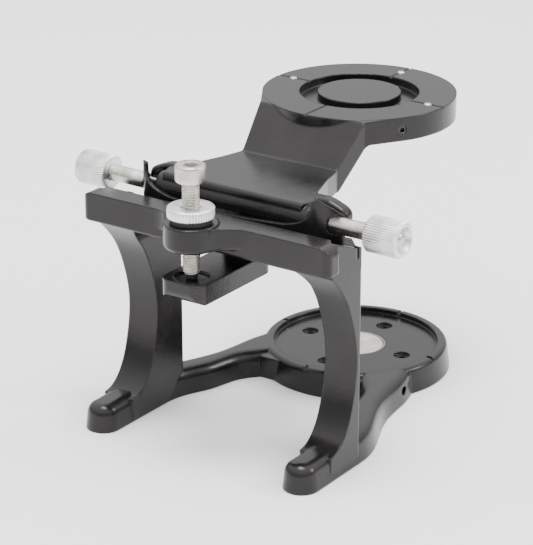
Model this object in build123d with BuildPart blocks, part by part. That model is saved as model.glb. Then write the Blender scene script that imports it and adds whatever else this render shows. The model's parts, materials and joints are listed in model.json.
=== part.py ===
"""Small dental articulator: a cast lower frame, a hinged upper frame, two hinge
screws with knurled knobs, a height screw with its pad, lock nut and washer, and
the magnets, index pins and grub screws of the two mounting rings.

Frame: X runs along the hinge, Y from the crossbar towards the rings, Z up.
The origin is on the bench under the middle of the overall box.  Millimetres.
"""

import os
from math import asin, cos, radians, sin

from build123d import *

os.makedirs("parts", exist_ok=True)

# ---------------------------------------------------------------- driving sizes
# distances behind the crossbar's front face
RING_BACK = 81.0
HINGE_BACK = 17.5
SCREW_BACK = -4.4

BOSS_R = 7.85
LOW_RING_R = 29.6
BAR_Y = -(RING_BACK + LOW_RING_R + SCREW_BACK - BOSS_R) / 2
RING_Y = BAR_Y + RING_BACK
HINGE_Y = BAR_Y + HINGE_BACK
SCREW_Y = BAR_Y + SCREW_BACK
HINGE_Z = 72.0
OVERALL_WIDTH = 111.0

# crossbar, boss, cradle and posts
BAR_HALF = 42.4
BAR_DEPTH = 7.0
BAR_TOP = 71.8
BAR_BOTTOM = 63.0
BAR_ROUND = 3.2
BAR_CORNER = 2.2
BAR_LOW_ROUND = 0.8
BOSS_TOP = 72.6
BOSS_BOTTOM = 65.0
BOSS_BLEND = 9.0
BOSS_SPAN = 40.0
BOSS_LOW_ROUND = 1.8
BOSS_TOP_ROUND = 0.4
POST_IN = 29.8
POST_OUT = 40.4
POST_TOP = 63.4
GUSSET_IN = 23.0
GUSSET_LOW = 54.0
PLATE_IN = 38.8
EAR_IN = 30.0
EAR_OUT = 31.9
SHANK_GAP = 0.15
CRADLE_FRONT = 11.5
CRADLE_BACK = 12.8
SHELF_TOP = 65.4
SHELF_BACK = 9.0                   # middle of the shelf
SHELF_DEPTH = 7.4
HEAD_WALL = 2.1                    # inner wall of each post head
HEAD_WALL_DEPTH = 15.2
HEAD_WALL_BACK = 12.0
HEAD_WALL_HEIGHT = 4.0
SLOT_X = 40.6                      # slot between crossbar and head plate
SLOT_BACK = 6.25
SLOT_WIDTH = 1.9
SLOT_Z = 70.9

# feet, arms and lower ring
FOOT_HEIGHT = 8.0
FOOT_HALF = 5.4
FOOT_X = 35.2
FOOT_BACK = -1.4
DRAFT = 6
FOOT_ROUND = 3.4
WEB_HALF = 18.0
WEB_TOP = 7.0
WEB_BACK = 59.0
WEB_DEPTH = 9.4
RIM_Z = 8.05
RIM_DRAFT = 1.0
RIM_ROUND = 1.6
RECESS_R = 25.7
RECESS_DEPTH = 1.65
NOTCH_WIDTH = 1.2
NOTCH_DEPTH = 0.8
NOTCH_LEN = 6.0

# upper frame
UP_TOP = 88.9
UP_THICK = 7.2
UP_RING_R = 29.3
GROOVE_R = 18.1
HUB_R = 12.5
GROOVE_DEPTH = 2.6
SCORE_WIDTH = 0.8
SCORE_DEPTH = 0.4
PLATE_TOP = 77.0
PLATE_THICK = 6.6
BARREL_R = 4.2
HINGE_FACE = 26.2
WING_END = 34.3
WING_BACK = 23.35
WING_WIDTH = 4.3
WING_HEIGHT = 6.0
LUG_ROUND = 1.2
REAR_EDGE = 14.2
FOLD_LOW = 43.3
FOLD_HIGH = 55.2
FOLD_ROUND = 1.5
REAR_ROUND = 1.4

# tongue under the crossbar
TONGUE_HALF = 7.2
TONGUE_BOTTOM = 50.3
TONGUE_TOP = 56.2
TONGUE_FRONT = -10.6
TONGUE_REAR = 25.2
TONGUE_WALL = 4.6
DISH_R = 5.0
DISH_DEPTH = 0.5
TONGUE_LOW_ROUND = 3.4
TONGUE_INNER_ROUND = 4.0
TONGUE_CORNER = 3.6

# hinge screws and knobs
FIT = 0.04                         # running clearance on the radius
SHANK_R = 2.45
PIN_R = 1.35
SHOULDER_X = 32.0
PIN_TIP_X = 20.2
KNOB_LEN = 10.8
KNOB_R = 5.2
KNOB_X = OVERALL_WIDTH / 2 - KNOB_LEN
STEM_R = 2.0
COUNTERBORE = 2.4
DOME_HEIGHT = 1.5
DOME_R = (STEM_R ** 2 + DOME_HEIGHT ** 2) / (2 * DOME_HEIGHT)
DOME_ANGLE = asin(STEM_R / DOME_R)
KNURLS = 44

# height screw (M5), pad, nut and washer
THREAD_R = 2.5
HEAD_R = 4.35
HEAD_LEN = 4.9
HEAD_Z = 84.4
HEX_RADIUS = 2.3
HEX_DEPTH = 2.6
SCREW_END_Z = 57.3
PAD_R = 1.75
PAD_Z = TONGUE_TOP - DISH_DEPTH + 0.05
PAD_STEM_R = 0.9
PAD_STEM = 2.0
NUT_R = 6.75
NUT_Z = 73.85
NUT_LEN = 3.35
NUT_KNURLS = 48
WASHER_R = 5.9
WASHER_LEN = 1.2

# magnets, index pins, dimples and grub screws of the rings
MAGNET_R = 8.75
MAGNET_LEN = 2.6
MAGNET_PLAY = 0.05
SEAT_FIT = 0.02                    # radial gap of parts fixed in a seat
CUP_R = 9.4
CUP_FLOOR = 1.0
INDEX_R = 24.0
INDEX_PIN_R = 1.25
INDEX_DEPTH = 3.4
INDEX_PROUD = 0.3
INDEX_ANGLES = (0, 90, 180)
DIMPLE_CIRCLE_R = 17.0
DIMPLE_R = 2.5
DIMPLE_DEPTH = 0.9
DOWEL_R = 1.3
DOWEL_DEPTH = 3.2
UP_DIMPLE_DEPTH = 0.5
UP_DOWEL_DEPTH = 1.5
GRUB_R = 1.25
GRUB_ANGLE = -31.8
LOW_GRUB_Z = 3.9
LOW_GRUB_LEN = 16.0
UP_GRUB_Z = 85.0
UP_GRUB_LEN = 3.0
UP_GRUB_DEEP = 26.1
GRUB_HEX_RADIUS = 0.86
GRUB_HEX_DEPTH = 1.4


def yz(x):
    """Plane across X: its local x is world Y, its local y is world Z."""
    return Plane((x, 0, 0), x_dir=(0, 1, 0), z_dir=(1, 0, 0))


def xz(y):
    """Plane across Y: its local x is world X, its local y is world Z."""
    return Plane((0, y, 0), x_dir=(1, 0, 0), z_dir=(0, -1, 0))


def along_hinge(x, side):
    """Plane on the hinge axis, facing outwards on that side."""
    return Plane((x * side, HINGE_Y, HINGE_Z), x_dir=(0, 1, 0), z_dir=(side, 0, 0))


def radial(angle, radius, z):
    """Plane across a radius of the rings, facing outwards."""
    out = (cos(radians(angle)), sin(radians(angle)), 0)
    return Plane((radius * out[0], RING_Y + radius * out[1], z), z_dir=out)


def plan(points):
    """Plan points whose second number is a distance behind the crossbar's face."""
    return [(x, y + BAR_Y) for x, y in points]


def profile(points):
    """Side-view points (distance behind the crossbar's face, height)."""
    return [(y + BAR_Y, z) for y, z in points]


def save(node, name):
    node.part.label = name
    export_step(node.part, f"parts/{name}.step")


# ---------------------------------------------------------------- lower frame
ARM_OUTER = [(40.6, 21.0), (36.8, 36.1), (31.4, 50.0), (29.4, 63.0), (27.0, 72.0)]
ARM_INNER = [(14.0, 60.0), (21.4, 49.6), (24.6, 38.5), (29.8, 21.0)]
POST_CURVE = [(5.2, 61.0), (8.7, 57.5), (12.3, 52.8), (15.3, 46.3), (18.2, 34.0),
              (16.6, 20.5), (12.8, 11.6), (9.8, 8.6), (5.6, 7.2)]
POST_PLAN = [(22.0, 3.0), (40.4, 3.0), (40.4, 19.9), (30.4, 30.4), (22.0, 30.4)]
CRADLE_TOP = [(0, 70.1), (8, 70.3), (15, 70.8), (20, 71.2), (23.3, 72.1), (25.3, 72.9),
              (26.8, 73.9), (27.7, 75.2), (28.4, 77.0), (28.9, 79.2), (29.8, 79.9),
              (33.4, 78.6), (37, 76), (37, POST_TOP - 1), (0, POST_TOP - 1)]
EAR_RUN = (0.6, 0.8)
EAR_SIDE = [(CRADLE_FRONT - 1, 60), (CRADLE_FRONT - 1, 80), (13.2, 80),
            (19.6, 74.4), (20.6, 72.6), (20.6, 71.0), (19.6, 68.0), (19.6, 60)]
TAB_SIDE = [(7.2, 60), (7.2, 70.2), (7.8, 70.6), (17.6, 66.6), (17.6, 62.0),
            (18.6, 62.0), (18.6, 66.8), (19.9, 66.2), (19.9, 60)]

with BuildPart() as post:
    with BuildSketch(yz(GUSSET_IN)):
        with BuildLine():
            front = Spline(profile(POST_CURVE))
            Polyline(front @ 1, (BAR_Y + 5.6, 0.4), (BAR_Y + 31, 0.4),
                     (BAR_Y + 31, POST_TOP), (BAR_Y + 5.2, POST_TOP), front @ 0)
        make_face()
    extrude(amount=POST_OUT - GUSSET_IN)
    with BuildSketch(xz(BAR_Y)):
        with BuildLine():
            gusset = ThreePointArc((POST_IN, GUSSET_LOW), (POST_IN - 1.7, POST_TOP - 2.9),
                                   (GUSSET_IN + 0.2, POST_TOP))
            Polyline(gusset @ 1, (POST_OUT + 1, POST_TOP), (POST_OUT + 1, 0),
                     (POST_IN, 0), gusset @ 0)
        make_face()
    extrude(amount=-40, mode=Mode.INTERSECT)
    with BuildSketch(Plane.XY) as post_plan:
        with BuildLine():
            Polyline(plan(POST_PLAN), close=True)
        make_face()
        fillet(post_plan.vertices().filter_by_position(Axis.Y, BAR_Y + 19, BAR_Y + 20), 0.9)
    extrude(amount=POST_TOP, mode=Mode.INTERSECT)

with BuildPart() as post_head:
    # outer plate of the post head, slotted beside its tab
    with BuildSketch(yz(PLATE_IN)):
        with BuildLine():
            Polyline(profile(TAB_SIDE), close=True)
        make_face()
    extrude(amount=POST_OUT - PLATE_IN)

with BuildPart() as cradle:
    # thin wall behind the crossbar, rising at each end into a curved ear
    with BuildSketch(xz(BAR_Y + 9)):
        with BuildLine():
            Polyline(CRADLE_TOP, close=True)
        make_face()
    extrude(amount=-14)
    with BuildSketch(Plane.XY):
        with BuildLine():
            Polyline(plan([(0, CRADLE_BACK), (0, CRADLE_FRONT), (26.4, CRADLE_FRONT)]))
            outer = Spline(plan([(26.4, CRADLE_FRONT), (29.6, 12.7), (31.4, 14.8)]),
                           tangents=((1, 0), EAR_RUN))
            Polyline(plan([(31.4, 14.8), (35.9, 20.8), (34.8, 21.7), (30.3, 15.7)]))
            inner = Spline(plan([(30.3, 15.7), (28.6, 13.8), (26.0, CRADLE_BACK)]),
                           tangents=((-EAR_RUN[0], -EAR_RUN[1]), (-1, 0)))
            Polyline(plan([(26.0, CRADLE_BACK), (0, CRADLE_BACK)]))
        make_face()
    extrude(amount=90, mode=Mode.INTERSECT)
    with BuildSketch(yz(-1)):
        with BuildLine():
            Polyline(profile(EAR_SIDE), close=True)
        make_face()
    extrude(amount=40, mode=Mode.INTERSECT)

with BuildPart() as crossbar:
    with BuildSketch(xz(BAR_Y)):
        with Locations((0, (BAR_TOP + BAR_BOTTOM) / 2)):
            bar_face = Rectangle(2 * BAR_HALF, BAR_TOP - BAR_BOTTOM)
        fillet(bar_face.vertices().group_by(Axis.Y)[-1], BAR_ROUND)
    extrude(amount=-BAR_DEPTH)
    with BuildSketch(Plane.XY):
        with Locations((0, BAR_Y + BAR_DEPTH / 2)):
            RectangleRounded(2 * BAR_HALF, BAR_DEPTH, BAR_CORNER)
    extrude(amount=80, mode=Mode.INTERSECT)
    fillet(crossbar.edges().group_by(Axis.Z)[0], BAR_LOW_ROUND)

with BuildPart() as boss:
    with BuildSketch(Plane.XY.offset(BOSS_BOTTOM)) as boss_plan:
        with Locations((0, BAR_Y + BAR_DEPTH / 2)):
            Rectangle(BOSS_SPAN, BAR_DEPTH)
        with Locations((0, SCREW_Y)):
            Circle(BOSS_R)
        roots = boss_plan.vertices().filter_by_position(Axis.Y, BAR_Y - 0.01, BAR_Y + 0.01)
        fillet(roots.filter_by_position(Axis.X, -10, 10), BOSS_BLEND)
    extrude(amount=BAR_TOP - BOSS_BOTTOM)
    fillet(boss.edges().group_by(Axis.Z)[0].filter_by(GeomType.CIRCLE), BOSS_LOW_ROUND)
    with BuildSketch(Plane.XY.offset(BAR_TOP)):
        with Locations((0, SCREW_Y)):
            Circle(BOSS_R)
    extrude(amount=BOSS_TOP - BAR_TOP)
    fillet(boss.edges().group_by(Axis.Z)[-1], BOSS_TOP_ROUND)

with BuildPart() as arm:
    # foot and arm of one side, with draft and a rounded top edge
    with BuildSketch(Plane.XY):
        with BuildLine():
            side = Spline(plan(ARM_OUTER), tangents=((0, 1), (-0.3, 1)))
            end = Line(side @ 1, plan(ARM_INNER)[0])
            back = Spline(plan(ARM_INNER), tangents=((0.4, -1), (0, -1)))
            down = Line(back @ 1, (FOOT_X - FOOT_HALF, BAR_Y + FOOT_BACK))
            toe = ThreePointArc(down @ 1, (FOOT_X, BAR_Y + FOOT_BACK - FOOT_HALF),
                                (FOOT_X + FOOT_HALF, BAR_Y + FOOT_BACK))
            Line(toe @ 1, side @ 0)
        make_face()
    extrude(amount=FOOT_HEIGHT, taper=DRAFT)
    fillet(arm.edges().group_by(Axis.Z)[-1].sort_by(Axis.Y)[:-1], FOOT_ROUND)

with BuildPart() as low_ring:
    with Locations((0, RING_Y, RIM_Z / 2)):
        Cone(LOW_RING_R, LOW_RING_R - RIM_DRAFT, RIM_Z)
    fillet(low_ring.edges().group_by(Axis.Z)[-1], RIM_ROUND)

with BuildPart() as lower_frame:
    add(arm.part)
    # web between the arms and the ring, and the ring with its drafted skirt
    with Locations((0, BAR_Y + WEB_BACK, WEB_TOP / 2)):
        Box(2 * WEB_HALF, WEB_DEPTH, WEB_TOP)
    add(low_ring.part)
    # posts, post heads, cradle, shelf and crossbar
    add(post.part)
    add(post_head.part)
    add(cradle.part)
    for half in (arm.part, post.part, post_head.part, cradle.part):
        mirror(half, about=Plane.YZ)
    with Locations((0, BAR_Y + SHELF_BACK, (SHELF_TOP + BAR_BOTTOM) / 2)):
        Box(2 * EAR_OUT, SHELF_DEPTH, SHELF_TOP - BAR_BOTTOM)
    add(crossbar.part)
    add(boss.part)
    for side_x in (-1, 1):
        # inner wall of the post head and the slot beside the crossbar's end
        with Locations((side_x * (POST_IN + HEAD_WALL / 2), BAR_Y + HEAD_WALL_BACK,
                        POST_TOP + HEAD_WALL_HEIGHT / 4)):
            Box(HEAD_WALL, HEAD_WALL_DEPTH, HEAD_WALL_HEIGHT)
        with Locations((side_x * SLOT_X, BAR_Y + SLOT_BACK, SLOT_Z)):
            Box(4.0, SLOT_WIDTH, 10.0, mode=Mode.SUBTRACT)
    # bores of the height screw and the hinge pins
    with Locations((0, SCREW_Y, BAR_TOP - 5)):
        Cylinder(THREAD_R + FIT, 20, mode=Mode.SUBTRACT)
    for side_x in (-1, 1):
        with Locations(along_hinge((EAR_IN + EAR_OUT) / 2, side_x)):
            Cylinder(PIN_R + FIT, 5, mode=Mode.SUBTRACT)
        with Locations(along_hinge(EAR_OUT + 3, side_x)):
            Cylinder(SHANK_R + SHANK_GAP, 6, mode=Mode.SUBTRACT)
    # recess of the ring, magnet seat, dimples and rim notches
    with Locations((0, RING_Y, RIM_Z)):
        Cylinder(RECESS_R, 2 * RECESS_DEPTH, mode=Mode.SUBTRACT)
    floor_z = RIM_Z - RECESS_DEPTH
    with Locations((0, RING_Y, floor_z)):
        Cylinder(CUP_R + SEAT_FIT, 2 * (MAGNET_LEN + CUP_FLOOR), mode=Mode.SUBTRACT)
        with PolarLocations(DIMPLE_CIRCLE_R, 4):
            Cylinder(DIMPLE_R, 2 * DIMPLE_DEPTH, mode=Mode.SUBTRACT)
            Cylinder(DOWEL_R, 2 * DOWEL_DEPTH, mode=Mode.SUBTRACT)
    with Locations((0, RING_Y, RIM_Z)):
        with PolarLocations((RECESS_R + LOW_RING_R) / 2, 4):
            Box(NOTCH_LEN, NOTCH_WIDTH, 2 * NOTCH_DEPTH, mode=Mode.SUBTRACT)
    # grub screw's bore
    with Locations(radial(GRUB_ANGLE, CUP_R + 20, LOW_GRUB_Z)):
        Cylinder(GRUB_R + FIT, 44, mode=Mode.SUBTRACT)
save(lower_frame, "lower_frame")

# ---------------------------------------------------------------- upper frame
PLATE_SIDE = [(REAR_EDGE, PLATE_TOP), (FOLD_LOW, PLATE_TOP), (FOLD_HIGH, UP_TOP - 0.1),
              (RING_BACK, UP_TOP), (RING_BACK, UP_TOP - UP_THICK),
              (FOLD_HIGH + 1.2, UP_TOP - UP_THICK),
              (FOLD_LOW + 1.2, PLATE_TOP - PLATE_THICK), (REAR_EDGE, PLATE_TOP - PLATE_THICK)]
PLATE_PLAN = [(0, REAR_EDGE), (23.8, REAR_EDGE), (25.4, 19.5), (23.2, 22.8), (21.5, 26.9),
              (18.3, 36.2), (16.5, 43.8), (18.4, 55.4), (24.9, 65.7), (20, RING_BACK),
              (0, RING_BACK)]
TONGUE_SIDE = [(TONGUE_FRONT, TONGUE_BOTTOM), (TONGUE_REAR, TONGUE_BOTTOM),
               (TONGUE_REAR, HINGE_Z), (TONGUE_REAR - TONGUE_WALL, HINGE_Z),
               (TONGUE_REAR - TONGUE_WALL, TONGUE_TOP), (TONGUE_FRONT, TONGUE_TOP)]

with BuildPart() as tongue:
    with BuildSketch(yz(-TONGUE_HALF)) as tongue_side:
        with BuildLine():
            Polyline(profile(TONGUE_SIDE), close=True)
        make_face()
        fillet(tongue_side.vertices().group_by(Axis.Y)[0], TONGUE_LOW_ROUND)
        inner_corner = tongue_side.vertices().group_by(Axis.Y)[-2].sort_by(Axis.X)[-1]
        fillet(inner_corner, TONGUE_INNER_ROUND)
    extrude(amount=2 * TONGUE_HALF)
    with BuildSketch(Plane.XY):
        with Locations((0, BAR_Y + (TONGUE_FRONT + TONGUE_REAR) / 2)):
            RectangleRounded(2 * TONGUE_HALF, TONGUE_REAR - TONGUE_FRONT, TONGUE_CORNER)
    extrude(amount=UP_TOP, mode=Mode.INTERSECT)

with BuildPart() as lug:
    # stop lug beside the barrel, falling away towards its rounded end
    with BuildSketch(xz(BAR_Y + WING_BACK - WING_WIDTH / 2)):
        with BuildLine():
            fall = Spline((26.5, PLATE_TOP), (31.4, PLATE_TOP - 1.3), (WING_END, PLATE_TOP - 4.6),
                          tangents=((1, 0), (0, -1)))
            Polyline(fall @ 1, (WING_END, PLATE_TOP - WING_HEIGHT),
                     (HINGE_FACE - 8, PLATE_TOP - WING_HEIGHT), (HINGE_FACE - 8, PLATE_TOP),
                     fall @ 0)
        make_face()
    extrude(amount=-WING_WIDTH)
    fillet(lug.edges().filter_by(lambda e: e.center().X > HINGE_FACE - 7), LUG_ROUND)

with BuildPart() as upper_frame:
    # folded plate with its waisted outline
    with BuildSketch(yz(-UP_RING_R)) as plate_side:
        with BuildLine():
            Polyline(profile(PLATE_SIDE), close=True)
        make_face()
        folds = plate_side.vertices().filter_by_position(Axis.X, BAR_Y + 40, BAR_Y + 60)
        fillet(folds, FOLD_ROUND)
        fillet(plate_side.vertices().group_by(Axis.X)[0], REAR_ROUND)
    extrude(amount=2 * UP_RING_R)
    with BuildSketch(Plane.XY):
        with BuildLine():
            Polyline(plan(PLATE_PLAN))
            Polyline(plan([PLATE_PLAN[-1], PLATE_PLAN[0]]))
        make_face()
        mirror(about=Plane.YZ)
    extrude(amount=UP_TOP, mode=Mode.INTERSECT)
    # ring
    with Locations((0, RING_Y, UP_TOP - UP_THICK / 2)):
        Cylinder(UP_RING_R, UP_THICK)
    # barrel on the hinge axis and the two stop lugs
    with Locations(along_hinge(0, 1)):
        Cylinder(BARREL_R, 2 * HINGE_FACE)
    add(lug.part)
    mirror(lug.part, about=Plane.YZ)
    add(tongue.part)
    # annular groove and radial score lines on top
    with Locations((0, RING_Y, UP_TOP)):
        Cylinder(GROOVE_R, 2 * GROOVE_DEPTH, mode=Mode.SUBTRACT)
        with PolarLocations((GROOVE_R + UP_RING_R) / 2, 4):
            Box(UP_RING_R - GROOVE_R + 2, SCORE_WIDTH, 2 * SCORE_DEPTH, mode=Mode.SUBTRACT)
    with Locations((0, RING_Y, UP_TOP - GROOVE_DEPTH / 2)):
        Cylinder(HUB_R, GROOVE_DEPTH)
    # recess, magnet seat, dimples and pin holes below
    ceiling_z = UP_TOP - UP_THICK + RECESS_DEPTH
    with Locations((0, RING_Y, ceiling_z - 2.5)):
        Cylinder(RECESS_R, 5.0, mode=Mode.SUBTRACT)
    with Locations((0, RING_Y, ceiling_z)):
        Cylinder(CUP_R + SEAT_FIT, 2 * (MAGNET_LEN + CUP_FLOOR), mode=Mode.SUBTRACT)
        with PolarLocations(DIMPLE_CIRCLE_R, 4):
            Cylinder(DIMPLE_R, 2 * UP_DIMPLE_DEPTH, mode=Mode.SUBTRACT)
            Cylinder(DOWEL_R, 2 * UP_DOWEL_DEPTH, mode=Mode.SUBTRACT)
    for angle in INDEX_ANGLES:
        with Locations((INDEX_R * cos(radians(angle)),
                        RING_Y + INDEX_R * sin(radians(angle)), UP_TOP)):
            Cylinder(INDEX_PIN_R, 2 * INDEX_DEPTH, mode=Mode.SUBTRACT)
    # dished seat of the height screw
    with Locations((0, SCREW_Y, TONGUE_TOP)):
        Cylinder(DISH_R, 2 * DISH_DEPTH, mode=Mode.SUBTRACT)
    # hinge bores and the grub screw's hole
    for side_x in (-1, 1):
        with Locations(along_hinge(HINGE_FACE - 3.2, side_x)):
            Cylinder(PIN_R + FIT, 7.0, mode=Mode.SUBTRACT)
    with Locations(radial(GRUB_ANGLE, UP_GRUB_DEEP + 6, UP_GRUB_Z)):
        Cylinder(GRUB_R + FIT, 12, mode=Mode.SUBTRACT)
save(upper_frame, "upper_frame")

# ---------------------------------------------------------------- hinge screws
for side_name, side_x in (("left", -1), ("right", 1)):
    stem_end = KNOB_X + KNOB_LEN - COUNTERBORE
    dome_middle = (stem_end + DOME_HEIGHT - DOME_R * (1 - cos(DOME_ANGLE / 2)),
                   DOME_R * sin(DOME_ANGLE / 2))
    with BuildPart() as hinge_screw:
        # pin, shoulder, shank, stem and domed end in one turned profile
        with BuildSketch(Plane((0, HINGE_Y, HINGE_Z), x_dir=(side_x, 0, 0),
                               z_dir=(0, 0, 1))):
            with BuildLine():
                dome = ThreePointArc((stem_end, STEM_R), dome_middle,
                                     (stem_end + DOME_HEIGHT, 0))
                Polyline(dome @ 1, (PIN_TIP_X, 0), (PIN_TIP_X, PIN_R - 0.3),
                         (PIN_TIP_X + 0.3, PIN_R), (SHOULDER_X, PIN_R),
                         (SHOULDER_X, SHANK_R), (KNOB_X, SHANK_R), (KNOB_X, STEM_R),
                         dome @ 0)
            make_face()
        revolve(axis=Axis((0, HINGE_Y, HINGE_Z), (1, 0, 0)))
    save(hinge_screw, f"hinge_screw_{side_name}")

    with BuildPart() as knob:
        with BuildSketch(along_hinge(KNOB_X, side_x)):
            Circle(KNOB_R)
            with PolarLocations(KNOB_R + 0.1, KNURLS):
                Circle(0.24, mode=Mode.SUBTRACT)
            Circle(STEM_R + 0.02, mode=Mode.SUBTRACT)
        extrude(amount=KNOB_LEN)
        with Locations(along_hinge(KNOB_X + KNOB_LEN - COUNTERBORE / 2, side_x)):
            Cone(STEM_R + 0.6, STEM_R + 1.7, COUNTERBORE, mode=Mode.SUBTRACT)
    save(knob, f"knob_{side_name}")

# ---------------------------------------------------------------- height screw
with BuildPart() as height_screw:
    with Locations((0, SCREW_Y, (SCREW_END_Z + HEAD_Z) / 2)):
        Cylinder(THREAD_R, HEAD_Z - SCREW_END_Z)
    chamfer(height_screw.edges().group_by(Axis.Z)[0], 0.5)
    with Locations((0, SCREW_Y, HEAD_Z + HEAD_LEN / 2)):
        Cylinder(HEAD_R, HEAD_LEN)
    fillet(height_screw.edges().group_by(Axis.Z)[-1], 0.5)
    with BuildSketch(Plane.XY.offset(HEAD_Z + HEAD_LEN)):
        with Locations((0, SCREW_Y)):
            RegularPolygon(HEX_RADIUS, 6)
    extrude(amount=-HEX_DEPTH, mode=Mode.SUBTRACT)
    with Locations((0, SCREW_Y, SCREW_END_Z)):
        Cylinder(PAD_STEM_R + FIT, 2 * (PAD_STEM + 0.2), mode=Mode.SUBTRACT)
save(height_screw, "height_screw")

with BuildPart() as screw_pad:
    pad_top = SCREW_END_Z - 0.05
    with Locations((0, SCREW_Y, (PAD_Z + pad_top) / 2)):
        Cylinder(PAD_R, pad_top - PAD_Z)
    chamfer(screw_pad.edges().group_by(Axis.Z)[0], 0.4)
    with Locations((0, SCREW_Y, pad_top + PAD_STEM / 2)):
        Cylinder(PAD_STEM_R, PAD_STEM)
save(screw_pad, "screw_pad")

with BuildPart() as lock_nut:
    with BuildSketch(Plane.XY.offset(NUT_Z)):
        with Locations((0, SCREW_Y)):
            Circle(NUT_R)
            with PolarLocations(NUT_R + 0.1, NUT_KNURLS):
                Circle(0.3, mode=Mode.SUBTRACT)
            Circle(THREAD_R + FIT, mode=Mode.SUBTRACT)
    extrude(amount=NUT_LEN)
save(lock_nut, "lock_nut")

with BuildPart() as nut_washer:
    with Locations((0, SCREW_Y, BOSS_TOP + 0.03 + WASHER_LEN / 2)):
        Cylinder(WASHER_R, WASHER_LEN)
        Cylinder(THREAD_R + 0.2, WASHER_LEN, mode=Mode.SUBTRACT)
save(nut_washer, "nut_washer")

# ---------------------------------------------------------------- ring fittings
for level, face_z, inward in (("lower", RIM_Z - RECESS_DEPTH, -1),
                              ("upper", ceiling_z, 1)):
    seat_z = face_z + inward * (MAGNET_LEN + CUP_FLOOR)
    with BuildPart() as magnet_cup:
        with Locations((0, RING_Y, (face_z + seat_z) / 2)):
            Cylinder(CUP_R, MAGNET_LEN + CUP_FLOOR)
        with Locations((0, RING_Y, face_z + inward * MAGNET_LEN / 2)):
            Cylinder(MAGNET_R + SEAT_FIT, MAGNET_LEN, mode=Mode.SUBTRACT)
    save(magnet_cup, f"magnet_cup_{level}")

    with BuildPart() as magnet:
        with Locations((0, RING_Y, face_z + inward * (MAGNET_LEN - MAGNET_PLAY) / 2)):
            Cylinder(MAGNET_R, MAGNET_LEN - MAGNET_PLAY)
        chamfer(magnet.edges().filter_by(GeomType.CIRCLE), 0.3)
    save(magnet, f"magnet_{level}")

for pin_name, angle in zip(("right", "back", "left"), INDEX_ANGLES):
    pin_x = INDEX_R * cos(radians(angle))
    pin_y = RING_Y + INDEX_R * sin(radians(angle))
    pin_len = INDEX_DEPTH + INDEX_PROUD
    with BuildPart() as index_pin:
        with Locations((pin_x, pin_y, UP_TOP + INDEX_PROUD - pin_len / 2)):
            Cylinder(INDEX_PIN_R - 0.01, pin_len)
        chamfer(index_pin.edges().group_by(Axis.Z)[0], 0.4)
        fillet(index_pin.edges().group_by(Axis.Z)[-1], 0.6)
    save(index_pin, f"index_pin_{pin_name}")

for level, grub_z, grub_from, grub_len in (
        ("lower", LOW_GRUB_Z, CUP_R + 0.05, LOW_GRUB_LEN),
        ("upper", UP_GRUB_Z, UP_GRUB_DEEP + 0.05, UP_GRUB_LEN)):
    with BuildPart() as grub_screw:
        with Locations(radial(GRUB_ANGLE, grub_from + grub_len / 2, grub_z)):
            Cylinder(GRUB_R, grub_len)
        with BuildSketch(radial(GRUB_ANGLE, grub_from + grub_len, grub_z)):
            RegularPolygon(GRUB_HEX_RADIUS, 6)
        extrude(amount=-GRUB_HEX_DEPTH, mode=Mode.SUBTRACT)
    save(grub_screw, f"grub_screw_{level}")
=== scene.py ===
"""Looks of the dental articulator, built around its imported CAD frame."""

import json
from math import cos, pi, radians, sin

import bmesh
import bpy
from mathutils import Matrix, Vector


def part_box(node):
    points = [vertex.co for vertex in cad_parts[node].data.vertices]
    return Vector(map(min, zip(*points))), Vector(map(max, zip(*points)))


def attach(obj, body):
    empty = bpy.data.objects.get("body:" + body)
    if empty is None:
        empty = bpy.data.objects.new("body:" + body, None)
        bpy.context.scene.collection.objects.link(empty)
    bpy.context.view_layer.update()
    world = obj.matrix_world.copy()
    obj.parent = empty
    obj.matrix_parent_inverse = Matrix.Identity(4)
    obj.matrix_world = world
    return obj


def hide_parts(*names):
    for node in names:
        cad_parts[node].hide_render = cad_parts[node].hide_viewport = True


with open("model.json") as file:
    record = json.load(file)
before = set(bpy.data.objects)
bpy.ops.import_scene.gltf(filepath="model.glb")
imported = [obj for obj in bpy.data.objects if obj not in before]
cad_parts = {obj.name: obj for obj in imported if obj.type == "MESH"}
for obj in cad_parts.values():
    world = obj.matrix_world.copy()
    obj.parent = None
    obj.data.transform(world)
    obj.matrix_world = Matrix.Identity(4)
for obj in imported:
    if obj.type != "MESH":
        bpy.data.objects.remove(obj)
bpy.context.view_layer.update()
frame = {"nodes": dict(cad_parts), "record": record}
nodes = frame["nodes"]

MM = 0.001


# ------------------------------------------------------------------ node helpers
BEVEL_SAMPLES = 6
# sockets of a colour Mix node
MIX_FACTOR = 0
MIX_FIRST = 6
MIX_SECOND = 7
MIX_RESULT = 2


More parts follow.
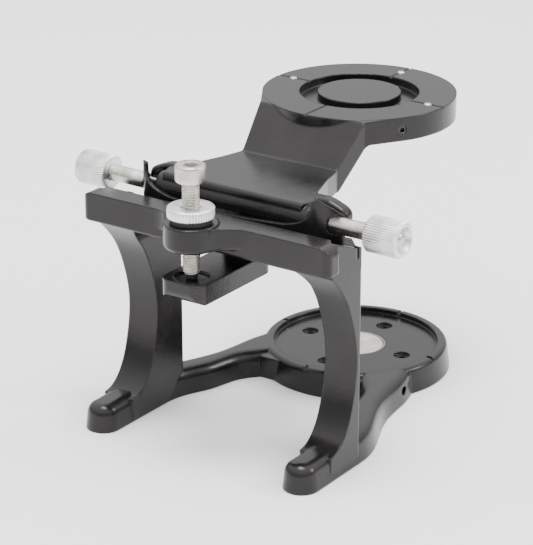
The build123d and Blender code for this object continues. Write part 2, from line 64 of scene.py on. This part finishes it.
class Shader:
    """A material's node tree with short calls for the nodes that the finishes share."""

    def __init__(self, name, **sockets):
        self.material = bpy.data.materials.new(name)
        self.material.use_nodes = True
        self.tree = self.material.node_tree
        self.shader = self.tree.nodes["Principled BSDF"]
        for socket, value in sockets.items():
            self.shader.inputs[socket.replace("_", " ")].default_value = value

    def node(self, kind, settings=None, **inputs):
        """A new node; its inputs take values or other nodes' outputs."""
        made = self.tree.nodes.new(kind)
        for key, value in (settings or {}).items():
            setattr(made, key, value)
        for key, value in inputs.items():
            socket = made.inputs[key.replace("_", " ")]
            if isinstance(value, bpy.types.NodeSocket):
                self.tree.links.new(value, socket)
            else:
                socket.default_value = value
        return made

    def link(self, output, socket):
        """Feeds a socket of the Principled shader."""
        self.tree.links.new(output, self.shader.inputs[socket])

    def place(self, scale=(1, 1, 1)):
        """Object coordinates, stretched."""
        coords = self.node("ShaderNodeTexCoord")
        mapping = self.node("ShaderNodeMapping", Vector=coords.outputs["Object"])
        mapping.inputs["Scale"].default_value = scale
        return mapping.outputs["Vector"]

    def noise(self, scale, detail=3.0, roughness=0.5, place=None):
        """Noise from 0 to 1, mostly near its middle."""
        made = self.node("ShaderNodeTexNoise", Vector=place or self.place(), Scale=scale,
                         Detail=detail, Roughness=roughness)
        return made.outputs["Fac"]

    def spread(self, value, low, high, from_low=0.35, from_high=0.65):
        """value, moved from one range to another."""
        made = self.node("ShaderNodeMapRange", {"clamp": True}, Value=value)
        for key, number in (("From Min", from_low), ("From Max", from_high),
                            ("To Min", low), ("To Max", high)):
            made.inputs[key].default_value = number
        return made.outputs["Result"]

    def mix(self, factor, first, second):
        """Colour between first and second."""
        made = self.node("ShaderNodeMix", {"data_type": "RGBA"})
        self.tree.links.new(factor, made.inputs[MIX_FACTOR])
        for socket, value in ((made.inputs[MIX_FIRST], first),
                              (made.inputs[MIX_SECOND], second)):
            if isinstance(value, bpy.types.NodeSocket):
                self.tree.links.new(value, socket)
            else:
                socket.default_value = (*value, 1)
        return made.outputs[MIX_RESULT]

    def math(self, operation, first, second):
        made = self.node("ShaderNodeMath", {"operation": operation})
        for socket, value in zip(made.inputs, (first, second)):
            if isinstance(value, bpy.types.NodeSocket):
                self.tree.links.new(value, socket)
            else:
                socket.default_value = value
        return made.outputs[0]

    def edges(self, radius, low=0.02, high=0.25):
        """(mask that is 1 on sharp edges, softened normal)."""
        bevel = self.node("ShaderNodeBevel", {"samples": BEVEL_SAMPLES}, Radius=radius)
        flat = self.node("ShaderNodeNewGeometry")
        dot = self.node("ShaderNodeVectorMath", {"operation": "DOT_PRODUCT"})
        self.tree.links.new(bevel.outputs["Normal"], dot.inputs[0])
        self.tree.links.new(flat.outputs["Normal"], dot.inputs[1])
        bend = self.math("SUBTRACT", 1.0, dot.outputs["Value"])
        return self.spread(bend, 0.0, 1.0, low, high), bevel.outputs["Normal"]

    def bump(self, height, strength, distance, normal):
        """The normal, tilted by a height."""
        made = self.node("ShaderNodeBump", Height=height, Strength=strength,
                         Distance=distance)
        self.tree.links.new(normal, made.inputs["Normal"])
        return made.outputs["Normal"]


# ------------------------------------------------------------------ finishes
def black_paint():
    """Satin black coat over a casting: orange peel, dull patches, edges lightened as rubbed
    paint and as a painted highlight.
    """
    s = Shader("black_paint", Metallic=0.0, IOR=1.38, Specular_Tint=(1, 0.955, 0.95, 1))
    edge_mask, soft = s.edges(0.0008)
    patches = s.noise(60, 4)
    peel = s.noise(900, 2)
    grit = s.noise(4200, 2)
    tone = s.mix(s.spread(patches, 0, 1), (0.005, 0.0048, 0.0049), (0.011, 0.0103, 0.0101))
    # lighter edges: partly rubbed paint, partly a painted highlight for the glint that
    # rounded edges catch
    wear_and_glint = s.math("MULTIPLY", edge_mask, s.spread(s.noise(380, 5, 0.7), 0.05, 0.75))
    s.link(s.mix(wear_and_glint, tone, (0.055, 0.053, 0.051)), "Base Color")
    rough = s.math("ADD", s.spread(patches, 0.15, 0.25), s.spread(grit, -0.02, 0.05))
    s.link(rough, "Roughness")
    height = s.math("ADD", s.math("MULTIPLY", peel, 0.7), s.math("MULTIPLY", grit, 0.3))
    s.link(s.bump(height, 0.14, 0.0003, soft), "Normal")
    return s.material


def steel():
    """Turned stainless steel: a fine speckled grain, faint warm stains."""
    s = Shader("turned_steel", Metallic=1.0)
    edge_mask, soft = s.edges(0.00025)
    stains = s.noise(240, 4)
    speck = s.noise(2600, 3, 0.6)
    tone = s.mix(s.spread(stains, 0, 1), (0.42, 0.395, 0.36), (0.66, 0.64, 0.61))
    s.link(s.mix(edge_mask, tone, (0.85, 0.84, 0.82)), "Base Color")
    s.link(s.math("ADD", s.spread(stains, 0.24, 0.36), s.spread(speck, -0.04, 0.08)),
           "Roughness")
    s.link(s.bump(speck, 0.18, 0.00012, soft), "Normal")
    return s.material


def knurled_metal():
    """Bright aluminium with a fine blasted grain and shiny edges."""
    s = Shader("knurled_aluminium", Metallic=1.0)
    edge_mask, soft = s.edges(0.0002)
    cloud = s.noise(300, 4)
    grain = s.noise(3600, 3, 0.6)
    tone = s.mix(s.spread(cloud, 0, 1), (0.66, 0.66, 0.655), (0.84, 0.84, 0.83))
    s.link(s.mix(edge_mask, tone, (0.95, 0.95, 0.94)), "Base Color")
    s.link(s.math("ADD", s.spread(cloud, 0.30, 0.42), s.spread(grain, -0.05, 0.08)),
           "Roughness")
    s.link(s.bump(grain, 0.25, 0.00015, soft), "Normal")
    return s.material


def magnet_plate():
    """Nickel plate with fine rubbing marks and a cream tint."""
    s = Shader("magnet_plate", Metallic=1.0)
    edge_mask, soft = s.edges(0.0003)
    cloud = s.noise(180, 4)
    marks = s.noise(900, 4, 0.7, s.place((1, 6, 1)))
    tone = s.mix(s.spread(cloud, 0, 1), (0.60, 0.565, 0.50), (0.78, 0.75, 0.69))
    s.link(s.mix(edge_mask, tone, (0.9, 0.88, 0.84)), "Base Color")
    s.link(s.spread(marks, 0.24, 0.44), "Roughness")
    s.link(s.bump(marks, 0.15, 0.0001, soft), "Normal")
    return s.material


def dark_metal(name, low, high, roughness):
    """Blackened or plated steel of the hidden fittings."""
    s = Shader(name, Metallic=1.0)
    edge_mask, soft = s.edges(0.0002)
    cloud = s.noise(500, 4)
    s.link(s.mix(edge_mask, s.mix(s.spread(cloud, 0, 1), low, high), (0.35, 0.34, 0.33)),
           "Base Color")
    s.link(s.spread(cloud, roughness, roughness + 0.15), "Roughness")
    s.link(s.bump(cloud, 0.1, 0.0001, soft), "Normal")
    return s.material


def moulded_black(name, roughness):
    """Black rubber or plastic with a fine matt grain."""
    s = Shader(name, Metallic=0.0, IOR=1.48)
    edge_mask, soft = s.edges(0.0002)
    grain = s.noise(5200, 3)
    s.link(s.mix(edge_mask, s.mix(s.spread(grain, 0, 1), (0.012, 0.012, 0.012),
                               (0.022, 0.021, 0.02)), (0.05, 0.05, 0.05)), "Base Color")
    s.link(s.spread(grain, roughness, roughness + 0.15), "Roughness")
    s.link(s.bump(grain, 0.2, 0.0001, soft), "Normal")
    return s.material


def shade_smooth(mesh, angle=32):
    """Smooth shading that keeps edges sharper than the angle."""
    mesh.polygons.foreach_set("use_smooth", [True] * len(mesh.polygons))
    mesh.set_sharp_from_angle(angle=radians(angle))


finishes = {
    "black_paint": black_paint(),
    "steel": steel(),
    "knurled_aluminium": knurled_metal(),
    "magnet": magnet_plate(),
    "plated_cup": dark_metal("plated_cup", (0.22, 0.21, 0.2), (0.34, 0.33, 0.31), 0.3),
    "black_steel": dark_metal("black_steel", (0.03, 0.03, 0.03), (0.06, 0.06, 0.062), 0.32),
    "dark_rubber": moulded_black("dark_rubber", 0.55),
    "dark_tip": moulded_black("dark_tip", 0.35),
}
slot_of = {part["node"]: part["material_slot"] for part in frame["record"]["subparts"]}
for node_name, node in nodes.items():
    finish = finishes[slot_of[node_name]]
    if not node.material_slots:
        node.data.materials.append(finish)
    for slot in node.material_slots:
        slot.material = finish


# ------------------------------------------------------------------ sizes from the frame
def centre(node_name):
    """Middle of a node's box."""
    low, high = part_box(node_name)
    return (low + high) / 2


screw_low, screw_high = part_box("height_screw")
screw_axis = centre("height_screw")
nut_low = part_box("lock_nut")[0]


def mesh_piece(name, build, body, finish, replaced, smooth=32):
    """A mesh made by build(bm), riding on a body in place of a CAD node."""
    bm = bmesh.new()
    build(bm)
    bmesh.ops.recalc_face_normals(bm, faces=bm.faces)
    mesh = bpy.data.meshes.new(name)
    bm.to_mesh(mesh)
    bm.free()
    shade_smooth(mesh, smooth)
    mesh.materials.append(finishes[finish])
    piece = bpy.data.objects.new(name, mesh)
    bpy.context.scene.collection.objects.link(piece)
    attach(piece, body)
    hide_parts(replaced)


def skin_rings(bm, rings):
    """Quads between successive rings of points, and a cap at each end."""
    rows = [[bm.verts.new(p) for p in ring] for ring in rings]
    count = len(rows[0])
    for low, high in zip(rows, rows[1:]):
        for i in range(count):
            j = (i + 1) % count
            bm.faces.new((low[i], low[j], high[j], high[i]))
    bm.faces.new(rows[0])
    bm.faces.new(list(reversed(rows[-1])))


# ------------------------------------------------------------------ threaded height screw
PITCH = 0.8 * MM
THREAD_R = 2.5 * MM
CORE_R = 2.06 * MM
AROUND = 48
STEPS = 8                     # rings of points in one pitch
ROOT_FLAT = 0.14              # shares of the pitch
FLANK = 0.72
LEAD_IN = 1.1 * MM            # the thread fades in over this length
RELIEF = 0.12 * MM            # at its start it is this much below the core
END_R = 1.7 * MM
END_HOLE_R = 0.95 * MM
END_HOLE_DEPTH = 0.05 * MM
NECK_R = 2.35 * MM
HEAD_LEN = 4.9 * MM
# radius and rise above the head's underside, in millimetres
HEAD_ROUNDS = ((3.9, 0.0), (4.15, 0.08), (4.3, 0.28), (4.35, 0.55), (4.35, 4.1),
               (4.32, 4.4), (4.2, 4.66), (4.0, 4.82), (3.7, 4.9), (2.75, 4.9))
HEAD_HEXAGONS = ((2.55, 4.88), (2.4, 4.75), (2.3, 4.5), (2.3, 2.3), (1.9, 2.1))
SOCKET_FLOOR = (0.4, 1.9)


def thread_radius(angle, z, bottom):
    """Radius of the thread at an angle and height, fading in from its lower end."""
    phase = ((z / PITCH) - angle / (2 * pi)) % 1.0
    flank = abs(2 * phase - 1)
    crest = min(1.0, max(0.0, (flank - ROOT_FLAT) / FLANK))
    radius = CORE_R + (THREAD_R - CORE_R) * crest
    lead = min(1.0, max(0.0, (z - bottom) / LEAD_IN))
    return min(radius, CORE_R - RELIEF + (THREAD_R - CORE_R + RELIEF) * lead)


def height_screw(bm):
    """Threaded shank, socket head with a hexagonal recess and rounded rims."""
    low = screw_low.z
    head_low = screw_high.z - HEAD_LEN
    angles = [2 * pi * i / AROUND for i in range(AROUND)]

    def ring(radius_at, z):
        return [Vector((screw_axis.x + radius_at(a) * cos(a),
                        screw_axis.y + radius_at(a) * sin(a), z)) for a in angles]

    def circle(radius, z):
        return ring(lambda a: radius, z)

    def hexagon(radius, z):
        return ring(lambda a: radius * cos(pi / 6) / cos((a % (pi / 3)) - pi / 6), z)

    rings = [circle(END_HOLE_R, low + END_HOLE_DEPTH), circle(END_R, low)]
    count = int((head_low - low) / PITCH * STEPS)
    for step in range(1, count):
        z = low + (head_low - low) * step / count
        rings.append(ring(lambda a: thread_radius(a, z, low), z))
    rings.append(circle(NECK_R, head_low))
    for radius, rise in HEAD_ROUNDS:
        rings.append(circle(radius * MM, head_low + rise * MM))
    for radius, rise in HEAD_HEXAGONS:
        rings.append(hexagon(radius * MM, head_low + rise * MM))
    radius, rise = SOCKET_FLOOR
    rings.append(circle(radius * MM, head_low + rise * MM))
    skin_rings(bm, rings)


mesh_piece("height_screw_threaded", height_screw, "screw", "steel", "height_screw")


# ------------------------------------------------------------------ hinge screws and knobs
PER_KNURL = 6                 # points round one groove of a knurl
CREASE = 28                   # degrees, for shading knurls
KNURLS = 44
KNURL_DEPTH = 0.34 * MM
GROOVE_SHARE = 0.3            # half a groove's width, as a share of its spacing
# distance from the inner face, radius and share of the knurl's depth, in millimetres
KNOB_ROWS = [(0.0, 2.06, 0), (0.0, 4.3, 0), (0.06, 4.62, 0.2), (0.3, 4.95, 0.7),
             (0.62, 5.2, 1), (9.9, 5.2, 1), (10.3, 5.08, 0.8), (10.62, 4.84, 0.35),
             (10.76, 4.6, 0), (10.8, 4.3, 0), (10.8, 4.02, 0), (10.72, 3.84, 0),
             (8.5, 2.95, 0), (8.3, 2.75, 0), (8.3, 2.06, 0)]
# radii and lengths of the hinge screws, in millimetres
PIN_R = 1.35
SHANK_R = 2.45
STEM_R = 2.0
SHOULDER_X = 32.0
SHANK_GAP = 0.05              # between the shank's end and the knob
DOME_R = 2.62
DOME_RISE = 2.2
DOME_FOOT = 8.35              # from the knob's inner face
DOME_STEPS = 8
SCREW_AROUND = 48


def turned(bm, rows, origin, out, around, ridge=lambda angle: 0.0):
    """Surface of revolution about out: rows are (distance along, radius, ridge share)."""
    side = Vector((0, 1, 0)) if abs(out.x) > 0.5 else Vector((1, 0, 0))
    other = out.cross(side)
    rings = []
    for along, radius, share in rows:
        ring = []
        for i in range(around):
            a = 2 * pi * i / around
            r = radius - share * ridge(a)
            ring.append(origin + out * along + (side * cos(a) + other * sin(a)) * r)
        rings.append(ring)
    skin_rings(bm, rings)


def knurl(count, depth):
    """Depth of a straight knurl's grooves at an angle: flat lands and V grooves."""
    def groove(angle):
        phase = (angle * count / (2 * pi)) % 1.0
        return depth * max(0.0, 1 - abs(phase - 0.5) / GROOVE_SHARE)
    return groove


def hinge_fittings(side_name, side):
    """Knob and screw of one side."""
    low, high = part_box("knob_" + side_name)
    axis = centre("knob_" + side_name)
    out = Vector((side, 0, 0))
    start = Vector((low.x if side > 0 else high.x, axis.y, axis.z))

    def knob(bm):
        turned(bm, [(a * MM, r * MM, s) for a, r, s in KNOB_ROWS], start, out,
               KNURLS * PER_KNURL, knurl(KNURLS, KNURL_DEPTH))

    mesh_piece("knob_mesh_" + side_name, knob, "hinge_" + side_name, "knurled_aluminium",
               "knob_" + side_name, smooth=CREASE)

    pin_low, pin_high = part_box("hinge_screw_" + side_name)
    tip = abs(pin_low.x if side > 0 else pin_high.x) / MM
    base = abs(start.x) / MM
    centre_line = Vector((0, axis.y, axis.z))

    def screw(bm):
        rows = [(tip + 0.02, 0.5), (tip, 0.9), (tip + 0.35, PIN_R),
                (SHOULDER_X, PIN_R), (SHOULDER_X, SHANK_R - 0.4),
                (SHOULDER_X + 0.12, SHANK_R - 0.13), (SHOULDER_X + 0.5, SHANK_R),
                (base - SHANK_GAP, SHANK_R), (base - SHANK_GAP, STEM_R),
                (base + DOME_FOOT - 0.15, STEM_R), (base + DOME_FOOT, DOME_R)]
        for step in range(1, DOME_STEPS):
            a = pi / 2 * step / DOME_STEPS
            rows.append((base + DOME_FOOT + DOME_RISE * sin(a), DOME_R * cos(a)))
        rows.append((base + DOME_FOOT + DOME_RISE, 0.12))
        turned(bm, [(a * MM, r * MM, 0) for a, r in rows], centre_line, out, SCREW_AROUND)

    mesh_piece("hinge_screw_mesh_" + side_name, screw, "hinge_" + side_name, "steel",
               "hinge_screw_" + side_name)


for side_name, side in (("left", -1), ("right", 1)):
    hinge_fittings(side_name, side)


# ------------------------------------------------------------------ lock nut
NUT_KNURLS = 48
NUT_KNURL_DEPTH = 0.3 * MM
# rise above the underside, radius and share of the knurl's depth, in millimetres
NUT_ROWS = [(0.25, 2.56, 0), (0.0, 2.9, 0), (0.0, 5.7, 0), (0.1, 6.2, 0.2), (0.3, 6.55, 0.8),
            (0.5, 6.72, 1), (2.85, 6.72, 1), (3.08, 6.55, 0.8), (3.25, 6.2, 0.2),
            (3.35, 5.8, 0), (3.35, 3.3, 0), (3.22, 3.1, 0), (2.95, 2.6, 0)]


def lock_nut(bm):
    """Straight-knurled round nut with broken edges and a chamfered bore."""
    around = NUT_KNURLS * PER_KNURL
    turned(bm, [(a * MM, r * MM, s) for a, r, s in NUT_ROWS],
           Vector((screw_axis.x, screw_axis.y, nut_low.z)), Vector((0, 0, 1)), around,
           knurl(NUT_KNURLS, NUT_KNURL_DEPTH))
    # the bore's wall joins the two chamfers
    caps = [f for f in bm.faces if len(f.verts) == around]
    bmesh.ops.bridge_loops(bm, edges=[e for f in caps for e in f.edges])
    bmesh.ops.delete(bm, geom=caps, context="FACES_ONLY")


mesh_piece("lock_nut_mesh", lock_nut, "nut", "knurled_aluminium", "lock_nut", smooth=CREASE)


# ------------------------------------------------------------------ stage, light, camera
FLOOR_HALF = 4.0
FLOOR_DROP = 0.0002           # keeps the floor clear of the feet
CEILING_HEIGHT = 0.75         # share of the sky's height where it is brightest
WALL_LIGHT = 0.42
CEILING_LIGHT = 2.6


def stage():
    """A plain pale floor."""
    floor_mesh = bpy.data.meshes.new("floor")
    corners = [(-1, -1), (1, -1), (1, 1), (-1, 1)]
    floor_mesh.from_pydata([(x * FLOOR_HALF, y * FLOOR_HALF, 0) for x, y in corners], [],
                           [(0, 1, 2, 3)])
    floor = bpy.data.objects.new("floor", floor_mesh)
    floor.location.z = -FLOOR_DROP
    bpy.context.scene.collection.objects.link(floor)
    s = Shader("pale_floor", Roughness=0.9)
    s.shader.inputs["Specular IOR Level"].default_value = 0.1
    s.link(s.mix(s.spread(s.noise(3, 2), 0, 1), (0.86, 0.86, 0.86), (0.88, 0.88, 0.88)),
           "Base Color")
    floor_mesh.materials.append(s.material)


def area_light(name, place, target, size, power):
    """A round soft light aimed at a point."""
    data = bpy.data.lights.new(name, "AREA")
    data.shape = "DISK"
    data.size = size
    data.energy = power
    lamp = bpy.data.objects.new(name, data)
    lamp.location = place
    aim = Vector(target) - Vector(place)
    lamp.rotation_euler = aim.to_track_quat("-Z", "Y").to_euler()
    bpy.context.scene.collection.objects.link(lamp)


def lights():
    """Studio: a bright ceiling, dim walls and two soft lights."""
    world = bpy.data.worlds.new("studio")
    world.use_nodes = True
    tree = world.node_tree
    background = tree.nodes["Background"]
    background.inputs["Color"].default_value = (1, 1, 1, 1)
    # dim walls keep the flanks of the black castings dark
    coords = tree.nodes.new("ShaderNodeTexCoord")
    split = tree.nodes.new("ShaderNodeSeparateXYZ")
    ceiling = tree.nodes.new("ShaderNodeMapRange")
    for socket, value in (("From Min", 0.0), ("From Max", CEILING_HEIGHT),
                          ("To Min", WALL_LIGHT), ("To Max", CEILING_LIGHT)):
        ceiling.inputs[socket].default_value = value
    tree.links.new(coords.outputs["Generated"], split.inputs[0])
    tree.links.new(split.outputs["Z"], ceiling.inputs["Value"])
    tree.links.new(ceiling.outputs["Result"], background.inputs["Strength"])
    bpy.context.scene.world = world
    area_light("top", (0.05, -0.1, 1.1), (0, 0, 0.05), 0.5, 12)
    area_light("rim", (0.8, 0.45, 0.55), (0, 0, 0.06), 0.35, 4)


# the camera, in metres and millimetres of lens
CAMERA_AT = (0.3571, -0.530375, 0.2903)
CAMERA_RIGHT = (0.8208, 0.5711, 0.0)
CAMERA_AHEAD = (-0.5319, 0.7644, -0.3642)
LENS = 151.93
SENSOR = 36


def camera():
    """A long lens, to the right of the object's front and a little above it."""
    data = bpy.data.cameras.new("camera")
    data.sensor_width = SENSOR
    data.lens = LENS
    view = bpy.data.objects.new("camera", data)
    right = Vector(CAMERA_RIGHT).normalized()
    ahead = Vector(CAMERA_AHEAD).normalized()
    up = right.cross(ahead).normalized()
    turn = Matrix((right, up, -ahead)).transposed().to_4x4()
    view.matrix_world = Matrix.Translation(CAMERA_AT) @ turn
    bpy.context.scene.collection.objects.link(view)
    bpy.context.scene.camera = view


stage()
lights()
camera()
